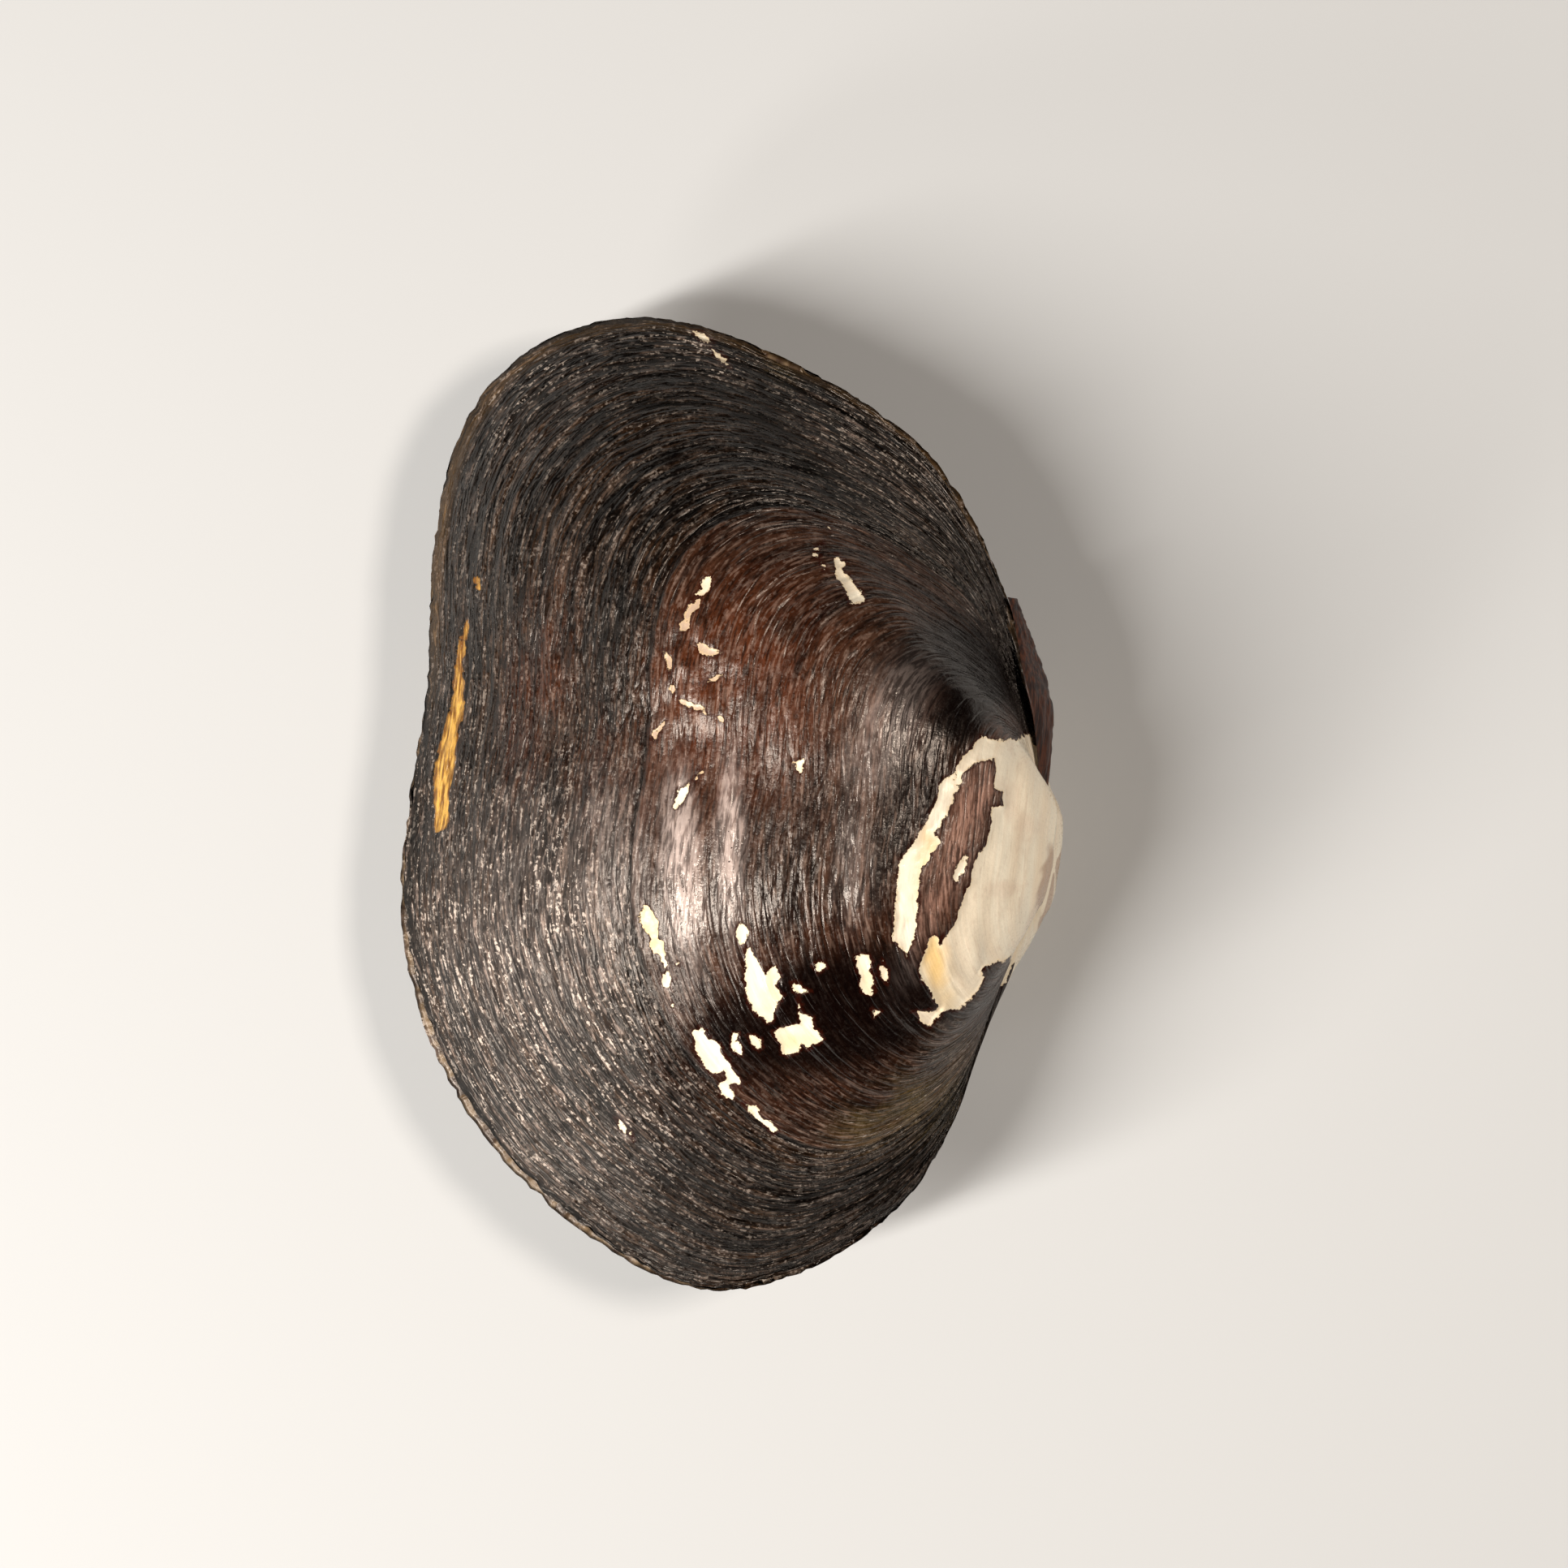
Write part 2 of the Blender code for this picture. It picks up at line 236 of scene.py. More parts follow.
def ripples(places, size, seed, waves=28):
    """Smooth random field of about unit height: plane waves of seeded ways, phases and lengths near size.

    places holds a point of two or three numbers in its last axis.
    """
    rng = np.random.default_rng(seed)
    ways = rng.normal(size=(waves, places.shape[-1]))
    ways /= np.linalg.norm(ways, axis=1)[:, None]
    ways *= (2 * math.pi / (size * rng.uniform(0.7, 1.7, waves)))[:, None]
    phase = rng.uniform(0, 2 * math.pi, waves)
    return np.sin(places @ ways.T + phase).sum(axis=-1) * math.sqrt(2 / waves)


def smooth_margin(count):
    """The margin at even steps, kept off the hinge axis by a least width."""
    line = closed_curve(MARGIN, count)
    line[:, 1] = floor_softly(line[:, 1], LEAST_WIDTH, MARGIN_SOFTENING)
    return line


def margin_line(lip):
    """The margin with its lip pushed out by up to lip around one place."""
    line = smooth_margin(SPOKES)
    distance = np.linalg.norm(line - np.array(LEFT_LIP_AT), axis=1)
    swell = lip * np.exp(-((distance / LEFT_LIP_REACH) ** 2))
    return line + swell[:, None] * outward(line)


def ragged_edge(line, seed):
    """The margin worn back unevenly by up to a few tenths of a millimetre, but hardly at the hinge."""
    broad, fine = EDGE_RAG_SIZES
    rag = ripples(line, broad, seed) + 0.6 * ripples(line, fine, seed + 1)
    back = EDGE_INSET + EDGE_RAG * np.abs(rag) * smooth(line[:, 1], *EDGE_RAG_FROM)
    return line - back[:, None] * outward(line)


def growth_turn(share):
    """Angle about the hinge axis of the growth line at a share of the margin's size."""
    age = np.log(1 / share)
    return SPIRAL * age + BEAK_CURL * np.maximum(age - BEAK_CURL_FROM, 0) ** 2


def growth_surface(line, share, young_back):
    """Points of the spiral: the margin shrunk to each share and turned about the hinge axis.

    share is a grid of rings by spokes.  A young shell was also narrower, and its middle lay further back.
    """
    turn = growth_turn(share)
    reach = line[..., 1] * share * (1 - YOUNG_NARROWING * (1 - share) ** 3) + LEAST_WIDTH * (1 - share)
    along = line[..., 0] * share + young_back * (1 - share) ** 2
    return np.stack([along, reach * np.cos(turn), reach * np.sin(turn)], axis=2)


def lamella_ages(seed):
    """Ages of all the rings, and which are a lamella's floor, from the beak to the margin.

    An age is the millimetres grown since.  A lip and the floor just outside it lie half a step to either
    side of a seeded age.  Younger rings have one more ring between each pair, and the worn umbo even steps.
    """
    rng = np.random.default_rng(seed)
    gaps = np.concatenate([rng.uniform(least, most, count) for least, most, count in LAMELLA_GAPS])
    lips = FIRST_LIP + np.cumsum(gaps)
    lips = lips[lips < SKIN_TO]
    between = (lips[:-1] + lips[1:]) / 2
    between = between[lips[:-1] > FINE_FROM]
    worn = np.linspace(SKIN_TO + WORN_RINGS_AFTER, LINE_LENGTH * (1 - LAST_SHARE), WORN_RINGS)
    ages = np.concatenate([[0.0], lips - LIP_HALF_STEP, lips + LIP_HALF_STEP, between, worn])
    is_floor = np.zeros(len(ages), bool)
    is_floor[1:len(lips) + 1] = True
    order = np.argsort(-ages)
    return ages[order], is_floor[order]


def relief(line, points, ages, is_floor, age, marks, seed):
    """Height of the outer face over the smooth spiral.

    Each lamella drops from its lip to its floor by a seeded depth that comes and goes along it, and deeper
    steps fade out after each growth rest.  Broad rolls, dimples and wrinkles are added, bare patches and
    gold streaks lie lower than the skin round them, and long folds run over the worn and lowered umbo.
    """
    around = np.broadcast_to(line, (len(ages), *line.shape))
    share = 1 - age / LINE_LENGTH
    rng = np.random.default_rng(seed + 3)
    drop = rng.uniform(*LAMELLA_DROP, len(ages)) * is_floor
    drop = drop * (1 - YOUNG_DROP_LOSS * smooth(ages, *YOUNG_AGES))
    rows = np.arange(len(ages))[:, None, None] * DROP_PER_ROW
    patchy = np.concatenate([around / DROP_LENGTH, np.broadcast_to(rows, (*age.shape, 1))], axis=2)
    height = -drop[:, None] * np.clip(0.55 + 0.6 * ripples(patchy, 1.0, seed + 4), 0, 1.8)
    for rest, depth in RESTS:
        past = share - rest
        height -= depth * np.exp(-np.clip(past, 0, None) / REST_FADE) * smooth(past, *REST_SHARPNESS)
    roll, roll_size = ROLL
    dimple, dimple_size = DIMPLE
    rolling = roll * ripples(points, roll_size, seed + 5) + dimple * ripples(points, dimple_size, seed + 6)
    height += rolling - RELIEF_DOWN
    wrinkle, wrinkle_size = WRINKLE
    height += wrinkle * ripples(points, wrinkle_size, seed + 7) * marks["wrinkled"]
    height -= BARE_DEPTH * smooth(marks["bare"], *BARE_RIM)
    height -= GOLD_DEPTH * smooth(marks["gold"], *GOLD_RIM)
    folded = np.concatenate([around / FOLD_LENGTH, age[:, :, None] / FOLD_WIDTH], axis=2)
    fold = WORN_FOLD * ripples(folded, 1.0, seed + 9)
    height += fold * smooth(marks["bare"], 0.0, 0.6) * smooth(age, *FOLD_AGES)
    worn = np.clip(1 - share / WORN_FROM, 0, 1)
    height -= WORN_STEP * smooth(WORN_FROM - share, -0.01, 0.01) + (WORN_BEAK - WORN_STEP) * worn
    return height


def outer_face(line, young_back, upper, seed):
    """Rings of the outer face from the beak to the margin, with each point's age and marks.

    The rings waver a little in age, and the relief moves each point along its normal, which is the cross
    product of the ways along and across the rings.  It fades out at the margin and at the hinge axis.
    """
    ages, is_floor = lamella_ages(seed)
    rows = len(ages)
    around = np.broadcast_to(line, (rows, *line.shape))
    row_age = np.broadcast_to(ages[:, None, None], (rows, len(line), 1))
    flow = np.concatenate([around / WAVER_LENGTH, row_age / WAVER_AGES], axis=2)
    waver = WAVER * ripples(flow, 1.0, seed + 2) * smooth(ages, 0.0, WAVER_IN)[:, None]
    waver = waver * (1 - smooth(ages, SKIN_TO - WAVER_OUT, SKIN_TO))[:, None]
    age = ages[:, None] + waver
    share = 1 - age / LINE_LENGTH
    worn_edge = np.exp(-age / EDGE_RAG_REACH)[:, :, None]
    points = growth_surface(line + (ragged_edge(line, seed) - line) * worn_edge, share, young_back)
    across = np.gradient(points, axis=0)
    along = np.roll(points, -1, axis=1) - np.roll(points, 1, axis=1)
    normal = np.cross(across, along)
    normal = normal / np.linalg.norm(normal, axis=2)[:, :, None]
    marks = surface_marks(points, upper, seed)
    height = relief(line, points, ages, is_floor, age, marks, seed) * smooth(age, 0.0, EDGE_FADE)
    axis_distance = np.hypot(points[:, :, 1], points[:, :, 2])
    height = height * np.clip(axis_distance / HINGE_FADE - 0.2, 0, 1)
    return points + normal * height[:, :, None], age, marks


def beak_dome(first_ring, last_turn):
    """Round cap on the first ring, as rings and the tip.

    The rings shrink by the cosine of an angle while they move on by its sine.
    """
    forward = np.array([0.0, -math.sin(last_turn), math.cos(last_turn)])
    middle = first_ring.mean(axis=0)
    angles = BEAK_DOME_ANGLES[:, None, None]
    rings = middle + (first_ring - middle) * np.cos(angles) + forward * BEAK_DOME * np.sin(angles)
    return rings, middle + forward * BEAK_DOME


def teeth(line, part):
    """Height of the meeting face over the hinge plate: long teeth behind the beak, a block before it.

    part goes from 0 at the outer edge to 1 at the hollow, and waves in it make ridges along the hinge.
    """
    rise = 1 / (1 + np.exp(-(line[:, 0] - TOOTH_FROM) / TOOTH_RAMP))
    fall = 1 / (1 + np.exp((line[:, 0] - TOOTH_TO) / TOOTH_RAMP))
    hinge_side = 1 / (1 + np.exp((line[:, 1] - PLATE_WIDTH) / TOOTH_SIDE_RAMP))
    lateral = rise * fall * -math.cos(4 * math.pi * part)
    cardinal = np.exp(-(((line[:, 0] - CARDINAL_AT) / CARDINAL_LENGTH) ** 2)) * math.sin(2 * math.pi * part)
    return TOOTH_HEIGHT * 4 * part * (1 - part) * hinge_side * (lateral + cardinal)


def plate_and_hollow(line, upper):
    """Rings from the margin across the meeting face and over the smooth inside, and its middle point.

    The inside is a spiral too: the plate's inner line shrunk to a share and turned by the share's logarithm.
    """
    inner = line - MARGIN_WALL * outward(line)
    inner[:, 1] = floor_softly(inner[:, 1], PLATE_WIDTH, PLATE_SOFTENING)
    way = 1 if upper else -1
    rings = []
    for part in np.linspace(0, 1, PLATE_ROWS + 1)[1:]:
        flat = line + (inner - line) * part
        rings.append(np.column_stack([flat, HALF_GAP + way * teeth(line, part)]))
    for share in INNER_SHARES:
        turn = INNER_SPIRAL * math.log(1 / share)
        reach = (inner[:, 1] - INNER_AXIS) * share
        ring = [inner[:, 0] * share, INNER_AXIS + reach * math.cos(turn), HALF_GAP + reach * math.sin(turn)]
        rings.append(np.stack(ring, axis=1))
    middle = rings[-1].mean(axis=0)
    last = rings[-1]
    for shrink in ROOF_SHRINKS:
        rings.append(middle + (last - middle) * shrink)
    return np.array(rings), middle


def to_table(points):
    """Valve frame in millimetres to the table's axes: the hinge's lean, then the tip of the resting pair."""
    lean = math.pi / 2 - HINGE_LEAN
    turn_z = np.array([[math.cos(lean), -math.sin(lean), 0], [math.sin(lean), math.cos(lean), 0], [0, 0, 1]])
    up = -HINGE_SIDE_UP
    turn_y = np.array([[math.cos(up), 0, math.sin(up)], [0, 1, 0], [-math.sin(up), 0, math.cos(up)]])
    down = -REAR_DOWN
    turn_x = np.array([[1, 0, 0], [0, math.cos(down), -math.sin(down)], [0, math.sin(down), math.cos(down)]])
    return points @ (turn_x @ turn_y @ turn_z).T


def to_photo(points):
    """Table points in millimetres to the photograph's pixels, seen by the camera straight above."""
    middle = PHOTO_SIDE / 2
    scale = PIXELS_PER_MM * (CAMERA_HEIGHT - SCALE_HEIGHT) / (CAMERA_HEIGHT - points[..., 2])
    across = middle + (points[..., 0] - CAMERA_AT[0]) * scale
    down = middle - (points[..., 1] - CAMERA_AT[1]) * scale
    return np.stack([across, down], axis=-1)


def inside_outline(pixels, outline):
    """Distance in millimetres from an outline of pixels, above 0 inside it and below 0 outside.

    The distance is the least over the outline's straight sides, and a crossing count gives its sign.
    """
    corners = np.array(outline, float)
    nearest = np.full(pixels.shape[:-1], np.inf)
    crossings = np.zeros(pixels.shape[:-1], int)
    for start, end in zip(corners, np.roll(corners, -1, axis=0)):
        side = end - start
        part = np.clip(((pixels - start) @ side) / (side @ side), 0, 1)
        nearest = np.minimum(nearest, np.linalg.norm(pixels - start - part[..., None] * side, axis=-1))
        spans = (start[1] > pixels[..., 1]) != (end[1] > pixels[..., 1])
        if side[1] != 0:
            at = start[0] + (pixels[..., 1] - start[1]) * side[0] / side[1]
            crossings += spans & (pixels[..., 0] < at)
    return np.where(crossings % 2 == 1, nearest, -nearest) / PIXELS_PER_MM


def ring_mesh(name, rings, first_pole, last_pole, flip, measures):
    """Closed mesh of rings joined by quads with a fan to the pole at each end, in metres.

    measures names the values that the materials read: per point, in the order of the rings and the poles.
    """
    count, spokes = rings.shape[:2]
    points = np.vstack([rings.reshape(-1, 3), first_pole[None], last_pole[None]]) * MM
    ring, spoke = np.meshgrid(np.arange(count - 1), np.arange(spokes), indexing="ij")
    beside = (spoke + 1) % spokes
    near, far = ring * spokes, (ring + 1) * spokes
    quads = np.stack([near + spoke, far + spoke, far + beside, near + beside], axis=2).reshape(-1, 4)
    spoke = np.arange(spokes)
    beside = (spoke + 1) % spokes
    end = (count - 1) * spokes
    fans = np.vstack([np.stack([np.full(spokes, count * spokes), spoke, beside], axis=1),
                      np.stack([np.full(spokes, count * spokes + 1), end + beside, end + spoke], axis=1)])
    if flip:
        quads, fans = quads[:, ::-1], fans[:, ::-1]
    mesh = bpy.data.meshes.new(name)
    mesh.vertices.add(len(points))
    mesh.vertices.foreach_set("co", points.ravel())
    mesh.loops.add(quads.size + fans.size)
    mesh.loops.foreach_set("vertex_index", np.concatenate([quads.ravel(), fans.ravel()]))
    sizes = np.concatenate([np.full(len(quads), 4), np.full(len(fans), 3)])
    mesh.polygons.add(len(sizes))
    mesh.polygons.foreach_set("loop_start", np.concatenate([[0], np.cumsum(sizes)[:-1]]))
    mesh.polygons.foreach_set("loop_total", sizes)
    mesh.update(calc_edges=True)
    mesh.validate()
    for key, values in measures.items():
        kind = "FLOAT_VECTOR" if values.ndim > 1 else "FLOAT"
        field = mesh.attributes.new(key, kind, "POINT")
        field.data.foreach_set("vector" if values.ndim > 1 else "value", values.ravel())
    mesh.shade_smooth()
    made = bpy.data.objects.new(name, mesh)
    bpy.context.scene.collection.objects.link(made)
    return made


# Places where the dark skin has come away, as outlines in the photograph's pixels
WORN_UMBO = (
    (1213, 907), (1239, 909), (1270, 905), (1296, 950), (1312, 1000), (1318, 1039), (1322, 1085),
    (1304, 1130), (1280, 1160), (1256, 1180), (1236, 1188), (1219, 1198), (1216, 1207), (1208, 1225),
    (1185, 1245), (1166, 1243), (1152, 1266), (1143, 1267), (1124, 1246), (1143, 1249), (1157, 1242),
    (1149, 1225), (1135, 1204), (1140, 1175), (1145, 1157), (1155, 1156), (1164, 1168), (1182, 1141),
    (1190, 1113), (1202, 1087), (1200, 1073), (1221, 1034), (1228, 1013), (1226, 995), (1243, 995),
    (1242, 979), (1230, 971), (1234, 940), (1232, 932), (1205, 939), (1192, 951), (1166, 1005),
    (1153, 1029), (1158, 1037), (1145, 1060), (1135, 1075), (1133, 1102), (1130, 1152), (1119, 1182),
    (1111, 1168), (1100, 1157), (1106, 1094), (1111, 1058), (1130, 1032), (1148, 1005), (1158, 969),
    (1174, 951), (1192, 930),
)
CREAM_FLAKES = (
    WORN_UMBO,
    ((1201, 1037), (1195, 1058), (1192, 1073), (1185, 1089), (1179, 1092), (1178, 1076), (1187, 1063)),
    ((1179, 983), (1174, 995), (1170, 1008), (1168, 1003), (1175, 988)),
    ((916, 1171), (922, 1168), (932, 1187), (944, 1204), (947, 1198), (956, 1192), (962, 1204), (955, 1215),
     (964, 1224), (963, 1232), (956, 1235), (957, 1247), (951, 1260), (944, 1263), (936, 1258), (925, 1242),
     (917, 1217), (918, 1199), (914, 1187)),
    ((952, 1274), (967, 1266), (986, 1263), (984, 1233), (989, 1249), (1001, 1256), (1003, 1268),
     (1014, 1281), (1010, 1287), (1000, 1288), (996, 1296), (986, 1291), (983, 1299), (970, 1305),
     (963, 1302), (960, 1291)),
    ((851, 1270), (859, 1271), (863, 1265), (877, 1284), (887, 1291), (889, 1300), (898, 1311), (914, 1338),
     (907, 1340), (900, 1339), (903, 1356), (897, 1357), (885, 1350), (887, 1336), (895, 1332), (892, 1320),
     (886, 1325), (879, 1326), (866, 1313), (856, 1302), (855, 1288)),
    ((916, 1364), (930, 1367), (939, 1375), (960, 1394), (955, 1400), (946, 1395), (930, 1378)),
    ((900, 1274), (912, 1276), (910, 1287), (913, 1295), (910, 1301), (901, 1295), (902, 1286)),
    ((922, 1278), (929, 1278), (938, 1285), (938, 1293), (933, 1295), (925, 1284)),
    ((1003, 1192), (1007, 1187), (1016, 1187), (1017, 1193), (1007, 1201)),
    ((1052, 1179), (1056, 1177), (1071, 1180), (1077, 1208), (1076, 1225), (1070, 1227), (1064, 1225),
     (1061, 1210), (1058, 1194)),
    ((877, 706), (878, 713), (868, 730), (863, 734), (854, 732), (863, 721), (862, 716)),
    ((820, 842), (830, 844), (828, 852), (822, 852)),
    ((819, 886), (818, 895), (811, 905), (800, 914), (801, 903), (813, 895)),
    ((1015, 664), (1016, 669), (1006, 678), (1010, 683), (1004, 684), (1003, 676)),
    ((1009, 686), (1012, 692), (1018, 695), (1017, 700), (1011, 694)),
    ((1030, 682), (1036, 683), (1045, 694), (1039, 699), (1055, 722), (1068, 733), (1063, 740), (1048, 742),
     (1042, 728), (1036, 714), (1031, 702)),
    ((1020, 646), (1026, 648), (1022, 652)),
    ((973, 939), (982, 939), (992, 934), (990, 948), (986, 952), (981, 946)),
    ((861, 946), (865, 947), (858, 962), (854, 960)),
    ((832, 975), (848, 962), (846, 980), (834, 998), (828, 994)),
    ((752, 1378), (762, 1383), (777, 1401), (776, 1409), (769, 1403), (758, 1394)),
    ((863, 735), (859, 750), (848, 762), (840, 763), (850, 744)),
    ((823, 853), (842, 863), (864, 870), (875, 885), (862, 877), (840, 870)),
    ((861, 841), (880, 831), (897, 824), (882, 838)),
    ((814, 799), (828, 811), (826, 831), (818, 818)),
    ((836, 764), (848, 763), (846, 775), (838, 778)),
    ((852, 788), (872, 795), (890, 806), (878, 809), (862, 801)),
    ((880, 883), (894, 887), (889, 893)),
    ((972, 1209), (984, 1212), (998, 1222), (985, 1226)),
    ((1086, 1184), (1093, 1189), (1093, 1214), (1087, 1209)),
    ((852, 402), (868, 409), (880, 420), (868, 418)),
    ((878, 428), (893, 437), (902, 449), (888, 443)),
)
YELLOW_FLAKES = (
    ((785, 1123), (794, 1117), (802, 1123), (809, 1139), (809, 1156), (816, 1159), (820, 1193), (815, 1192),
     (811, 1180), (797, 1167), (798, 1156), (785, 1134)),
    ((815, 1201), (821, 1198), (827, 1208), (825, 1218), (820, 1219), (814, 1212)),
    ((829, 1236), (833, 1246), (825, 1247)),
    ((833, 1187), (837, 1190), (829, 1194)),
    ((907, 1144), (912, 1138), (921, 1141), (921, 1151), (914, 1167), (908, 1164)),
    ((1077, 1245), (1085, 1249), (1078, 1255)),
)
GOLD_STREAKS = (
    ((564, 780), (572, 763), (575, 770), (568, 800), (567, 845), (567, 869), (563, 896), (558, 927),
     (553, 950), (550, 981), (546, 1022), (530, 1025), (529, 981), (531, 950), (535, 927), (544, 896),
     (552, 869), (554, 841), (562, 800)),
    ((583, 706), (589, 711), (589, 724), (583, 730), (579, 718)),
)

# Soft zones of colour, of painted shade, glints and highlights, and of gloss: middle and half sizes in the
# photograph's pixels, degrees turned, strength
# Red-brown tints of the skin; the last zone is painted shade, a tan on the umbo's right edge, on the side
# away from the light
REDDISH_AND_SHADE_ZONES = (
    (905, 850, 110, 130, -15, 1.0), (660, 850, 40, 120, -10, 0.6), (1010, 1250, 190, 95, 20, 0.40),
    (760, 950, 60, 80, 0, 0.4), (1190, 1010, 30, 90, -25, 0.45), (1165, 1120, 20, 70, -10, 0.4),
    (1306, 1085, 22, 100, -15, 0.60),
)
OLIVE = (
    (1120, 1368, 80, 34, 25, 1.0), (955, 440, 34, 16, -35, 0.9), (1180, 1320, 40, 60, 0, 0.4),
)
# Where light lines and dashes grow stronger: pale worn lamella edges, and painted glints and sheen on the
# lower flank, the rear slope and the margins
PALE_EDGE_AND_GLINT_ZONES = (
    (655, 1220, 150, 230, 25, 1.0), (1090, 570, 120, 42, -42, 0.8), (870, 430, 60, 26, -20, 0.9),
    (1180, 1280, 40, 45, 0, 0.8), (560, 1050, 50, 160, 0, 0.5), (640, 480, 90, 50, 35, 0.4),
)
# Near-black places: dark skin round the lower flakes, and painted shade by the upper end of the umbo, where
# the surface faces away from the light
DARK_SKIN_AND_SHADE_ZONES = (
    (1190, 840, 90, 70, -30, 1.0), (1030, 1248, 180, 72, 12, 0.95), (900, 560, 120, 60, 0, 0.3),
)
GLOSSY = (
    (842, 1085, 32, 120, 0, 1.0), (900, 1040, 20, 100, 0, 1.0), (1040, 1065, 50, 100, 0, 0.6),
    (1095, 890, 45, 90, -25, 0.5), (858, 835, 50, 85, -12, 0.2), (960, 1180, 190, 110, 20, 0.5),
)
WRINKLED = (
    (858, 835, 42, 85, -12, 1.0),
)
# A pinkish sheet of skin on the worn crown, and painted highlights: white gloss stripes in the middle and
# painted sheen on the flanks
FILM_AND_HIGHLIGHT_ZONES = (
    (838, 1075, 22, 95, 3, 1.0), (898, 1040, 14, 90, 0, 1.0), (842, 978, 10, 22, 20, 0.8),
    (1050, 1060, 24, 70, 3, 0.16), (750, 1060, 50, 90, 0, 0.25), (1095, 890, 36, 80, -25, 0.3),
    (640, 1130, 90, 120, 0, 0.12), (1185, 1035, 22, 120, -22, 0.75),
)
YELLOWED = (
    (1154, 1188, 14, 40, 10, 1.0), (1142, 1115, 10, 70, 4, 0.8), (1150, 1045, 8, 34, 30, 0.6),
    (1165, 1232, 16, 16, 0, 0.5), (800, 1150, 30, 50, 0, 0.8), (955, 1225, 14, 26, 0, 0.45),
    (1072, 1205, 9, 26, 0, 0.4), (985, 1290, 30, 12, 0, 0.5),
)

# How far the places wander, in pixels, and the millimetres over which that changes
FLAKE_RAG = (1.2, 1.3)
LEFT_DRIFT = (16.0, 9.0)

# Distance to a bare patch, in millimetres, that the meeting face and the hollow take
FAR_FROM_PATCH = -5.0


def table_shift():
    """Move from the valves' tipped frame to the table, read from where the upper valve's margin lies."""
    line = smooth_margin(SPOKES)
    margin = to_table(np.column_stack([line, np.full(len(line), HALF_GAP)]))
    low, high = (np.array(corner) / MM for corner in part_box("right_valve"))
    return np.array([
        low[0] - margin[:, 0].min(),
        (low[1] + high[1] - margin[:, 1].min() - margin[:, 1].max()) / 2,
        low[2] - margin[:, 2].min(),
    ])


SHIFT = table_shift()


def spread(pixels, zones):
    """Soft strength of a group of zones at each pixel: the strongest of their bell-shaped falls."""
    strongest = np.zeros(pixels.shape[:-1])
    for middle_x, middle_y, half_x, half_y, degrees, strength in zones:
        turn = math.radians(degrees)
        x, y = pixels[..., 0] - middle_x, pixels[..., 1] - middle_y
        u = (x * math.cos(turn) - y * math.sin(turn)) / half_x
        v = (x * math.sin(turn) + y * math.cos(turn)) / half_y
        strongest = np.maximum(strongest, strength * np.exp(-((u * u + v * v) ** 1.5) * 0.7))
    return strongest


def largest(pixels, outlines):
    """Signed distance in millimetres to the nearest of several outlines, above 0 inside."""
    found = np.full(pixels.shape[:-1], -np.inf)
    for outline in outlines:
        found = np.maximum(found, inside_outline(pixels, outline))
    return found


def surface_marks(points, upper, seed):
    """What the relief and the materials read: distances to bare patches, and soft zones of colour, painted
    shade, glints and highlights.

    The places are the photograph's pixels over each point.  The lower valve wears like a loose mirror of
    the upper one, so it takes the same places and lets them wander far.
    """
    pixels = to_photo(to_table(points + [0, 0, HALF_GAP]) + SHIFT)
    rag, rag_size = FLAKE_RAG
    wander = rag * np.stack([ripples(points, rag_size, seed + way) for way in (20, 21)], axis=-1)
    if not upper:
        drift, drift_size = LEFT_DRIFT
        drifting = np.stack([ripples(points, drift_size, seed + way) for way in (22, 23)], axis=-1)
        wander = wander + drift * drifting
    pixels = pixels + wander
    bare = largest(pixels, CREAM_FLAKES + YELLOW_FLAKES)
    gold = largest(pixels, GOLD_STREAKS)
    tint = np.stack([spread(pixels, REDDISH_AND_SHADE_ZONES), spread(pixels, OLIVE), spread(pixels, PALE_EDGE_AND_GLINT_ZONES)], axis=-1)
    finish = np.stack([spread(pixels, GLOSSY), spread(pixels, DARK_SKIN_AND_SHADE_ZONES), spread(pixels, YELLOWED)], axis=-1)
    return {"bare": bare, "gold": gold, "tint": tint, "finish": finish, "film_and_highlight": spread(pixels, FILM_AND_HIGHLIGHT_ZONES),
            "wrinkled": spread(pixels, WRINKLED)}


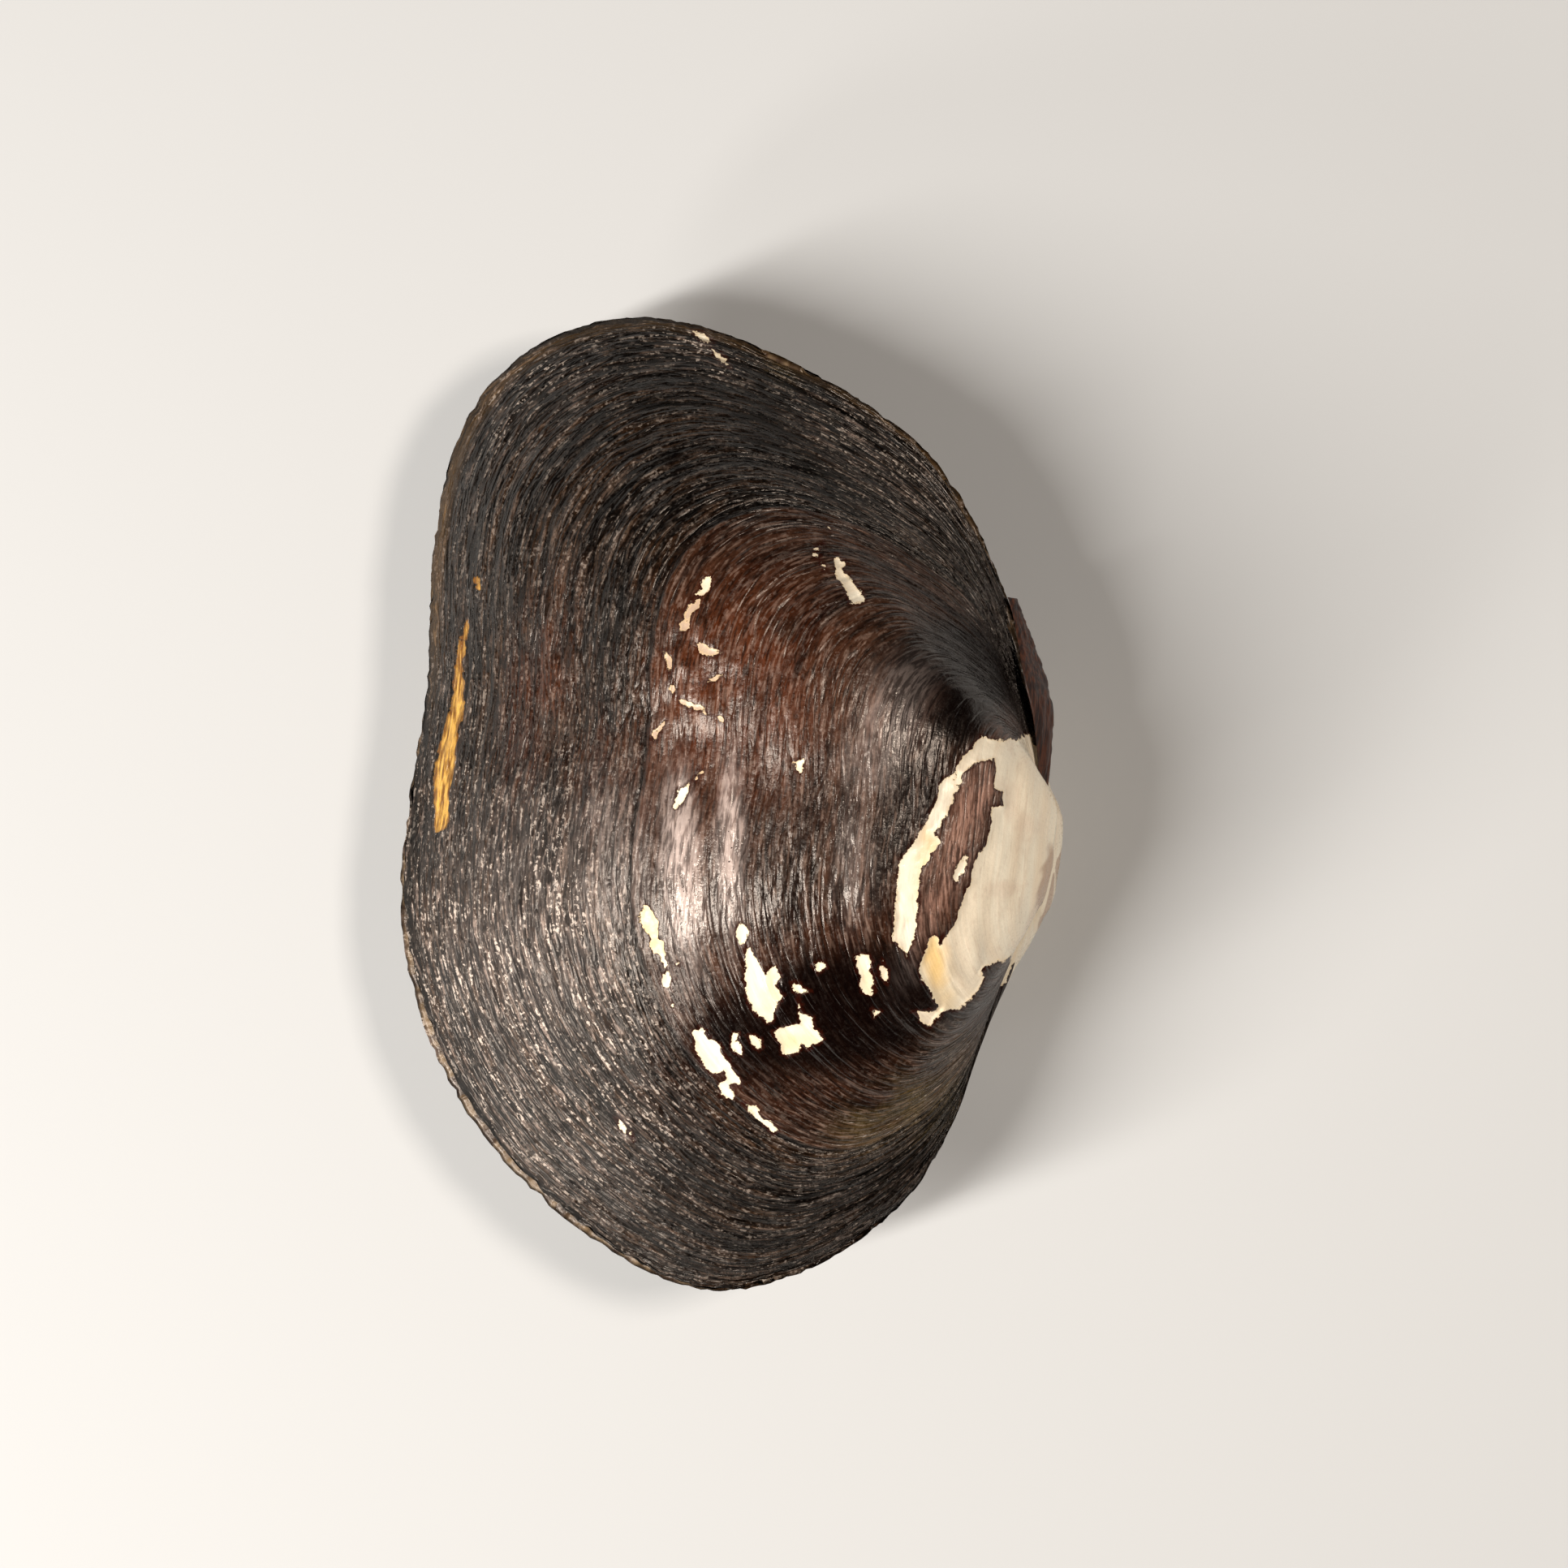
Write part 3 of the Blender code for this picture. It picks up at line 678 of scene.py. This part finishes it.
def valve(name, lip, young_back, upper, seed):
    """One valve as a closed surface: the beak's cap, the outer spiral, the meeting face and the hollow."""
    line = margin_line(lip)
    outer, age, marks = outer_face(line, young_back, upper, seed)
    outer[:, :, 2] += HALF_GAP
    dome, beak = beak_dome(outer[0], growth_turn(LAST_SHARE))
    inside, roof = plate_and_hollow(ragged_edge(line, seed), upper)
    rings = np.concatenate([dome, outer, inside])
    before, after = len(dome), len(inside)
    mirror = np.array([1, 1, 1 if upper else -1])
    placed = to_table(rings * mirror) + SHIFT
    placed[:, :, 2] = np.maximum(placed[:, :, 2], 0)
    poles = to_table(np.array([beak, roof]) * mirror) + SHIFT

    def whole(values, inner):
        """Outer values carried over the cap, with one value for the meeting face and the hollow."""
        first = np.repeat(values[:1], before, axis=0)
        last = np.broadcast_to(inner, (after, *values.shape[1:]))
        flat = np.concatenate([first, values, last]).reshape(-1, *values.shape[2:])
        return np.concatenate([flat, values[0, :1], last[0, :1]])

    share = 1 - age[:, :, None] / LINE_LENGTH
    growth = np.concatenate([line * share, age[:, :, None]], axis=2)
    if not upper:
        rag, rag_size = LEFT_WORN_RAG
        worn = (age - LEFT_WORN_FROM) * 0.6 + rag * ripples(outer, rag_size, seed + 8)
        marks["bare"] = np.maximum(marks["bare"], worn)
    measures = {"growth": whole(growth, growth[-1])}
    measures["bare"] = whole(marks["bare"], FAR_FROM_PATCH)
    measures["gold"] = whole(marks["gold"], FAR_FROM_PATCH)
    for key in ("tint", "finish", "film_and_highlight"):
        measures[key] = whole(marks[key], 0.0)
    measures["wall"] = whole(np.zeros(age.shape), smooth(line[:, 1], *WALL_COLOUR_FROM))
    made = ring_mesh(name, placed, poles[0], poles[1], not upper, measures)
    pearly = np.zeros(len(made.data.polygons), np.int32)
    spokes = len(line)
    pearly[(before + len(outer) + PLATE_ROWS) * spokes:(len(rings) - 1) * spokes] = 1
    pearly[-spokes:] = 1
    made.data.polygons.foreach_set("material_index", pearly)
    return made


def ramped(along, front, middle, rear):
    """A size that ramps smoothly from its front value to the middle one and on to the rear one."""
    rise = smooth(along, LIGAMENT_FROM, LIGAMENT_FROM + LIGAMENT_FRONT_RAMP)
    fall = smooth(LIGAMENT_TO - along, 0, LIGAMENT_REAR_RAMP)
    return front + (middle - front) * rise + (rear - middle) * (1 - fall)


def ligament():
    """Horny strap: a crescent section carried along the hinge line, with fibres along it and cracks across.

    The back is half an ellipse round the line and the underside a shallow V, both closed into one ring.
    """
    line = smooth_margin(LIGAMENT_MARGIN_STEPS)
    hinge = line[(line[:, 1] < LIGAMENT_MARGIN_WIDTH) & (line[:, 0] > 0)]
    hinge = hinge[np.argsort(hinge[:, 0])]
    along = np.linspace(LIGAMENT_FROM, LIGAMENT_TO, LIGAMENT_RINGS)[:, None]
    half = ramped(along, *LIGAMENT_HALF_WIDTH)
    thick = ramped(along, *LIGAMENT_THICK)
    edge = np.interp(along, hinge[:, 0], hinge[:, 1]) - LIGAMENT_CLEAR
    angles = np.linspace(0, math.pi, LIGAMENT_BACK_POINTS)[None, :]
    across = half * np.cos(angles)
    arch = edge + LIGAMENT_SLOPE * np.abs(across) - LIGAMENT_LIFT - thick * np.sin(angles)
    back = np.stack([np.broadcast_to(along, arch.shape), arch, across], axis=2)
    fibres = ripples(back * [0.12, 1, 1], 0.5, 71) + 0.5 * ripples(back * [0.25, 1, 1], 0.22, 72)
    cracks = np.clip(ripples(back * [1, 0.25, 0.25], 1.3, 73) - 1.1, 0, 1)
    rough = FIBRE_HEIGHT * (fibres + 1.2).clip(0, 2) + CRACK_HEIGHT * cracks
    back[:, :, 1] += rough * np.sin(angles)
    inner_side = half * np.linspace(-LIGAMENT_UNDER_WIDTH, LIGAMENT_UNDER_WIDTH, LIGAMENT_UNDER_POINTS)
    under_y = edge + LIGAMENT_SLOPE * np.abs(inner_side)
    under = np.stack([np.broadcast_to(along, under_y.shape), under_y, inner_side], axis=2)
    rings = np.concatenate([back, under], axis=1)
    placed = to_table(rings) + SHIFT
    ends = [rings[0].mean(axis=0)[None], rings[-1].mean(axis=0)[None]]
    measures = {"growth": np.concatenate([rings.reshape(-1, 3), *ends])}
    first, last = placed[0].mean(axis=0), placed[-1].mean(axis=0)
    return ring_mesh("ligament_strap", placed, first, last, True, measures)


class Reading:
    """A socket whose value varies over a surface.  Sums and products written on it become Math nodes."""

    def __init__(self, finish, socket):
        self.finish = finish
        self.socket = socket

    def combined(self, operation, first, second):
        """One Math node on two values."""
        return self.finish.node("ShaderNodeMath", {"operation": operation}, {0: first, 1: second})

    def __add__(self, other):
        return self.combined("ADD", self, other)

    def __radd__(self, other):
        return self.combined("ADD", other, self)

    def __sub__(self, other):
        return self.combined("SUBTRACT", self, other)

    def __rsub__(self, other):
        return self.combined("SUBTRACT", other, self)

    def __mul__(self, other):
        return self.combined("MULTIPLY", self, other)

    def __rmul__(self, other):
        return self.combined("MULTIPLY", other, self)

    def above(self, low, high):
        """0 below low, 1 above high and a smooth ramp between.  A low past the high turns it round."""
        settings = {"interpolation_type": "SMOOTHSTEP"}
        return self.finish.node("ShaderNodeMapRange", settings, {0: self, 1: low, 2: high, 3: 0.0, 4: 1.0})

    def near(self, place, half):
        """1 at a value and smoothly down to 0 at half a width to either side of it."""
        return self.above(place - half, place) * (1 - self.above(place, place + half))

    def most(self, other):
        """The larger of two values."""
        return self.combined("MAXIMUM", self, other)


class Finish:
    """One Principled material: constants on its own sockets, and whatever varies linked to them."""

    def __init__(self, name, constants):
        self.material = bpy.data.materials.new(name)
        self.material.use_nodes = True
        self.tree = self.material.node_tree
        self.shader = self.tree.nodes["Principled BSDF"]
        for socket, value in constants.items():
            self.shader.inputs[socket].default_value = value

    def node(self, kind, settings, inputs, output=0):
        """Any node: its settings first, then the values or links of its sockets."""
        made = self.tree.nodes.new(kind)
        for key, value in settings.items():
            setattr(made, key, value)
        for key, value in inputs.items():
            if isinstance(value, Reading):
                self.tree.links.new(value.socket, made.inputs[key])
            else:
                made.inputs[key].default_value = value
        return Reading(self, made.outputs[output])

    def field(self, name):
        """A named value of the surface, as a number."""
        return self.node("ShaderNodeAttribute", {"attribute_name": name}, {}, 2)

    def parts(self, name):
        """A named vector of the surface, as three numbers."""
        whole = self.node("ShaderNodeAttribute", {"attribute_name": name}, {}, 1)
        return [self.node("ShaderNodeSeparateXYZ", {}, {0: whole}, axis) for axis in range(3)]

    def noise(self, place, stretch, detail=3.0, roughness=0.55, distortion=0.0):
        """Noise from 0 to 1 on a vector whose three axes are first multiplied by stretch."""
        scaled = self.node("ShaderNodeVectorMath", {"operation": "MULTIPLY"}, {0: place, 1: stretch})
        sockets = {"Vector": scaled, "Scale": 1.0, "Detail": detail, "Roughness": roughness,
                   "Distortion": distortion}
        return self.node("ShaderNodeTexNoise", {}, sockets)

    def mix(self, share, first, second):
        """Colour that goes from the first to the second as the share goes from 0 to 1."""
        return self.node("ShaderNodeMix", {"data_type": "RGBA"}, {0: share, 6: first, 7: second}, 2)

    def feed(self, socket, value):
        """Link a varying value to one of the shader's own sockets."""
        self.tree.links.new(value.socket, self.shader.inputs[socket])

    def raise_by(self, millimetres):
        """Tilt the shading as if the surface stood off by a height in millimetres."""
        sockets = {"Strength": 1.0, "Distance": MM, "Height": millimetres}
        self.feed("Normal", self.node("ShaderNodeBump", {}, sockets))


def linear(red, green, blue):
    """Display colour from 0 to 255, as the linear colour that a shader takes."""
    return (*[(part / 255) ** 2.2 for part in (red, green, blue)], 1.0)


# Colours of the skin, from its darkest lines to its lightest dashes, with painted shade, glints and
# highlights among them
BLACK_BROWN, DARK_BROWN = linear(20, 13, 8), linear(54, 37, 24)
RED_BLACK, WARM_BROWN = linear(30, 17, 12), linear(74, 49, 36)
RUST, OLIVE_BROWN, DARK_AND_SHADE_BROWN = linear(92, 46, 22), linear(96, 80, 48), linear(14, 6, 4)
GROOVE, SEAM, PIT, HAIR_GROOVE = linear(8, 4, 3), linear(6, 3, 3), linear(8, 5, 4), linear(10, 5, 4)
RIDGE_TAN, BROAD_TAN, HAIR_TAN = linear(150, 126, 108), linear(190, 166, 152), linear(190, 158, 140)
DASH_AND_GLINT_WHITE, EDGE_TAN = linear(246, 228, 212), linear(132, 102, 68)
# White of the painted highlights, pink of the sheet of skin on the worn crown, and its dark pits
PAINTED_HIGHLIGHT_WHITE, FILM_PINK, FILM_PIT = linear(222, 200, 190), linear(206, 158, 138), linear(36, 18, 14)

# Colours of the bare shell, the gold streaks and the broken edge, which also paints a shadow
CREAM, CREAM_SHADE = linear(255, 245, 222), linear(250, 232, 204)
CREAM_BLOTCH, CREAM_LINE, CREAM_TAN_AND_SHADE = linear(220, 190, 164), linear(226, 204, 178), linear(150, 104, 78)
YELLOW_CREAM, FLAKE_RIM_AND_SHADOW = linear(251, 212, 146), linear(52, 20, 11)
GOLD_BROWN, GOLD_LIGHT, GOLD_RIM_BROWN = linear(122, 80, 30), linear(226, 174, 86), linear(104, 62, 26)
WALL_BROWN, WALL_TAN = linear(58, 42, 30), linear(132, 110, 84)

# Ages and half widths of the dark lines where growth rested: at the rear alone, and all round with strengths
REAR_RESTS = ((21.2, 0.4), (15.8, 0.5))
ROUND_RESTS = ((8.0, 0.4, 1.0), (12.6, 0.35, 0.8))


def bare_shell(finish, readings, edge):
    """Cream shell with faint bands and blotches, tan in the red-tinted zones, which at the umbo's right edge
    is painted shade, and yellower at thin edges and at the yellowed places.
    """
    bands, blotches, wires, red_tint_and_shade, yellowed = readings
    cream = finish.mix(bands.above(0.3, 0.7), CREAM, CREAM_SHADE)
    cream = finish.mix(blotches.above(0.52, 0.70) * 0.4, cream, CREAM_BLOTCH)
    cream = finish.mix(wires.above(0.56, 0.72) * 0.4, cream, CREAM_LINE)
    # Tan over the cream: tan patches near the middle, and painted shade on the umbo's right edge
    cream = finish.mix(red_tint_and_shade.above(0.42, 0.52) * 0.6, cream, CREAM_TAN_AND_SHADE)
    return finish.mix(yellowed.most(edge.above(0.16, 0.02) * 0.35), cream, YELLOW_CREAM)


def skin(name):
    """Dark, silky, finely lined skin, worn through to cream shell where the bare distance is above 0.

    Light ridges and dark grooves come from noises stretched along the growth lines.  Broader lines tilt the
    shading too.  Short light dashes lie over them, partly pale edges and partly painted glints, and dark
    lines follow the growth rests.  Painted highlights lie in white on the middle and the flanks, a pinkish
    sheet of skin lies on the worn crown, and zones set the colour, with painted shade among it.
    """
    finish = Finish(name, {"Specular IOR Level": 0.46, "Specular Tint": (1.0, 0.90, 0.82, 1.0)})
    place = finish.node("ShaderNodeAttribute", {"attribute_name": "growth"}, {}, 1)
    along, _, age = finish.parts("growth")
    solid = finish.node("ShaderNodeTexCoord", {}, {}, 3)
    bare, gold, wall, film_and_highlight = (finish.field(key) for key in ("bare", "gold", "wall", "film_and_highlight"))
    red_tint_and_shade, olive, pale_edge_and_glint = finish.parts("tint")
    glossy, dark_and_shade, yellowed = finish.parts("finish")
    lines = finish.noise(place, (0.42, 0.42, 2.7), 3.0, 0.6, 0.8)
    wires = finish.noise(place, (0.50, 0.50, 2.3), 1.5, 0.5, 0.9)
    dashes = finish.noise(place, (0.7, 0.7, 4.0), 2.0, 0.5)
    hairs = finish.noise(place, (0.7, 0.7, 4.6), 1.0, 0.4)
    seams = finish.noise(place, (0.12, 0.12, 1.1), 1.0, 0.4, 0.4).near(0.5, 0.10)
    bands = finish.noise(place, (0.04, 0.04, 0.55), 4.0, 0.6)
    blotches = finish.noise(solid, (260.0, 260.0, 260.0), 3.0)
    grain = finish.noise(solid, (3400.0, 3400.0, 3400.0), 2.0, 0.6)
    rag = finish.noise(solid, (2300.0, 2300.0, 2300.0), 4.0, 0.65)

    wavering = age + 1.6 * (blotches - 0.5)
    young = wavering.above(ARREST - 0.3, ARREST + 0.7)
    lively = 1 - 0.62 * young.most(red_tint_and_shade)
    outer_colour = finish.mix(bands.above(0.38, 0.66), BLACK_BROWN, DARK_BROWN)
    inner_colour = finish.mix(bands.above(0.38, 0.66), RED_BLACK, WARM_BROWN)
    colour = finish.mix(young, outer_colour, inner_colour)
    colour = finish.mix(red_tint_and_shade * blotches.above(0.15, 0.60) * 0.85, colour, RUST)
    colour = finish.mix(olive * blotches.above(0.3, 0.6) * 0.8, colour, OLIVE_BROWN)

    # Light ridges and broad lines, which are stronger where pale edges carry painted glints and sheen
    ridge = lines.above(0.52, 0.68)
    colour = finish.mix(ridge * (0.20 + 0.20 * pale_edge_and_glint) * lively, colour, RIDGE_TAN)
    broad = wires.above(0.52, 0.64) * (0.10 + 0.45 * pale_edge_and_glint) * lively
    colour = finish.mix(broad, colour, BROAD_TAN)
    # Short light dashes: pale lamella edges, and painted glints
    dash_and_glint = (0.5 * dashes + 0.5 * grain).above(0.555, 0.59)
    colour = finish.mix(dash_and_glint * (0.14 + 0.62 * pale_edge_and_glint) * lively, colour, DASH_AND_GLINT_WHITE)
    colour = finish.mix(hairs.above(0.58, 0.66) * young * 0.20, colour, HAIR_TAN)
    colour = finish.mix(hairs.above(0.44, 0.34) * 0.6, colour, HAIR_GROOVE)
    colour = finish.mix(lines.above(0.49, 0.38) * 0.85 * lively, colour, GROOVE)
    colour = finish.mix(seams * 0.85 * lively, colour, SEAM)
    colour = finish.mix(grain.above(0.52, 0.42) * 0.55 * lively, colour, PIT)

    rear = along.above(6.0, 18.0)
    rests = [wavering.near(rest_age, half) * rear for rest_age, half in REAR_RESTS]
    rests += [wavering.near(rest_age, half) * strength for rest_age, half, strength in ROUND_RESTS]
    colour = finish.mix(functools.reduce(Reading.most, rests) * 0.85, colour, SEAM)
    tan_edge = age.above(2.0, 0.4) * rear * ridge.most(0.35)
    colour = finish.mix(tan_edge * 0.6, colour, EDGE_TAN)
    # Near-black: dark skin, and painted shade by the upper end of the umbo
    colour = finish.mix(dark_and_shade.above(0.05, 0.75) * 0.94, colour, DARK_AND_SHADE_BROWN)

    # Painted highlights in white, and a pinkish sheet of skin on the worn crown past an age of 42 mm, with
    # dark pits
    film_and_highlight_mask = film_and_highlight * (0.25 + 0.75 * (0.6 * lines + 0.4 * dashes).above(0.42, 0.58))
    film_and_highlight_colour = finish.mix(age.above(42.0, 44.0), PAINTED_HIGHLIGHT_WHITE, FILM_PINK)
    colour = finish.mix(film_and_highlight_mask * 0.8, colour, film_and_highlight_colour)
    colour = finish.mix(rag.above(0.63, 0.68) * film_and_highlight, colour, FILM_PIT)
    colour = finish.mix(wavering.near(ARREST, 0.42) * 0.8, colour, HAIR_GROOVE)

    edge = bare + 0.70 * (rag - 0.5)
    inside = edge.above(-0.02, 0.03)
    # Dark red-brown outline round each bare patch: the curled skin's brown edge, and painted shadow just
    # outside it
    rim_and_shadow = edge.above(-0.30, -0.04) * (1 - inside)
    colour = finish.mix(rim_and_shadow * 0.75, colour, FLAKE_RIM_AND_SHADOW)
    colour = finish.mix(inside, colour, bare_shell(finish, (bands, blotches, wires, red_tint_and_shade, yellowed), edge))

    gold_edge = gold + 0.35 * (rag - 0.5)
    amber = finish.mix(dashes.above(0.35, 0.65), GOLD_BROWN, GOLD_LIGHT)
    amber = finish.mix(gold.above(0.22, 0.05) * 0.6, amber, GOLD_RIM_BROWN)
    colour = finish.mix(gold_edge.above(-0.03, 0.05), colour, amber)
    wall_colour = finish.mix(dashes.above(0.40, 0.60), WALL_BROWN, WALL_TAN)
    finish.feed("Base Color", finish.mix(wall, colour, wall_colour))

    finish.feed("Roughness", 0.30 + 0.30 * (grain - 0.5) + 0.06 * pale_edge_and_glint - 0.10 * glossy - 0.04 * dark_and_shade)
    line_height = (0.24 * wires + 0.06 * dashes) * (1 - 0.62 * young.most(dark_and_shade))
    skin_height = line_height - 0.05 * seams + 0.025 * grain
    bare_height = 0.02 * rag + 0.008 * grain + 0.10 * bands + 0.20 * blotches
    finish.raise_by(skin_height * (1 - inside) + bare_height * inside)
    return finish.material


def nacre():
    """Pearly inside of the valves."""
    finish = Finish("nacre", {"Roughness": 0.28, "Coat Weight": 0.3})
    solid = finish.node("ShaderNodeTexCoord", {}, {}, 3)
    bloom = finish.noise(solid, (90.0, 90.0, 90.0), 3.0)
    pearl = finish.mix(bloom.above(0.35, 0.65), linear(226, 220, 222), linear(196, 200, 214))
    finish.feed("Base Color", pearl)
    finish.raise_by(0.03 * finish.noise(solid, (500.0, 500.0, 500.0)))
    return finish.material


def horn():
    """Dark red-brown horn with fibres along the strap."""
    finish = Finish("horn", {"Coat Weight": 0.1})
    place = finish.node("ShaderNodeAttribute", {"attribute_name": "growth"}, {}, 1)
    fibres = finish.noise(place, (0.35, 5.0, 5.0), 4.0, 0.6)
    bands = finish.noise(place, (1.2, 0.2, 0.2), 3.0)
    colour = finish.mix(fibres.above(0.35, 0.68), linear(30, 14, 8), linear(88, 48, 27))
    colour = finish.mix(bands.above(0.55, 0.75) * 0.7, colour, linear(40, 22, 16))
    finish.feed("Base Color", colour)
    finish.feed("Roughness", 0.36 + 0.2 * fibres)
    finish.raise_by(0.06 * fibres)
    return finish.material


def table():
    """Plain pale floor: one flat square that reaches past the view."""
    half = 1.5
    mesh = bpy.data.meshes.new("floor")
    corners = [(-half, -half, 0), (half, -half, 0), (half, half, 0), (-half, half, 0)]
    mesh.from_pydata(corners, [], [(0, 1, 2, 3)])
    floor = bpy.data.objects.new("floor", mesh)
    bpy.context.scene.collection.objects.link(floor)
    finish = Finish("pale_floor", {"Roughness": 0.8})
    solid = finish.node("ShaderNodeTexCoord", {}, {}, 3)
    tone = finish.noise(solid, (3.0, 3.0, 3.0), 2.0)
    finish.feed("Base Color", finish.mix(tone, linear(203, 205, 207), linear(208, 209, 209)))
    mesh.materials.append(finish.material)


def soft_light(name, place, size, watts, colour):
    """Rectangular area light that faces the middle of the shell's place on the floor."""
    light = bpy.data.lights.new(name, "AREA")
    light.shape = "RECTANGLE"
    light.size, light.size_y = size
    light.energy = watts
    light.color = colour
    lamp = bpy.data.objects.new(name, light)
    bpy.context.scene.collection.objects.link(lamp)
    place = np.array(place)
    lamp.location = place
    aim = -place / np.linalg.norm(place)
    lamp.rotation_euler = (math.acos(-aim[2]), 0.0, math.atan2(aim[0], -aim[1]) + math.pi)


def camera():
    """Camera straight above, at the scale and place of the photograph."""
    made = bpy.data.cameras.new("camera")
    made.sensor_width = SENSOR
    made.lens = SENSOR * (CAMERA_HEIGHT - SCALE_HEIGHT) * PIXELS_PER_MM / PHOTO_SIDE
    made.clip_start = 0.01
    eye = bpy.data.objects.new("camera", made)
    eye.location = np.array(CAMERA_AT) * MM
    bpy.context.scene.collection.objects.link(eye)
    bpy.context.scene.camera = eye


def surroundings():
    """Weak even light from all round."""
    world = bpy.data.worlds.new("studio")
    world.use_nodes = True
    back = world.node_tree.nodes["Background"]
    back.inputs["Color"].default_value = (1.0, 0.98, 0.95, 1.0)
    back.inputs["Strength"].default_value = 0.02
    bpy.context.scene.world = world
    bpy.context.scene.view_settings.view_transform = "Standard"


def dress(piece, node, finishes):
    """Give a piece its materials and its place on the body, in the stead of its plain solid."""
    for finish in finishes:
        piece.data.materials.append(finish)
    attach(piece, "root")
    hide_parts(node)


WARM_LIGHT = (1.0, 0.95, 0.89)
WARMER_LIGHT = (1.0, 0.90, 0.80)

camera()
surroundings()
soft_light("key", (-0.34, -0.14, 0.38), (0.05, 0.42), 3.6, WARM_LIGHT)
soft_light("low", (-0.38, -0.34, 0.20), (0.08, 0.08), 0.8, WARM_LIGHT)
soft_light("fill", (0.24, 0.06, 0.48), (0.10, 0.10), 1.28, WARMER_LIGHT)
table()
pearl_inside = nacre()
dress(valve("right_shell", 0.0, RIGHT_YOUNG_BACK, True, 11), "right_valve",
      (skin("upper_skin"), pearl_inside))
dress(valve("left_shell", LEFT_LIP, LEFT_YOUNG_BACK, False, 47), "left_valve",
      (skin("lower_skin"), pearl_inside))
dress(ligament(), "ligament", (horn(),))
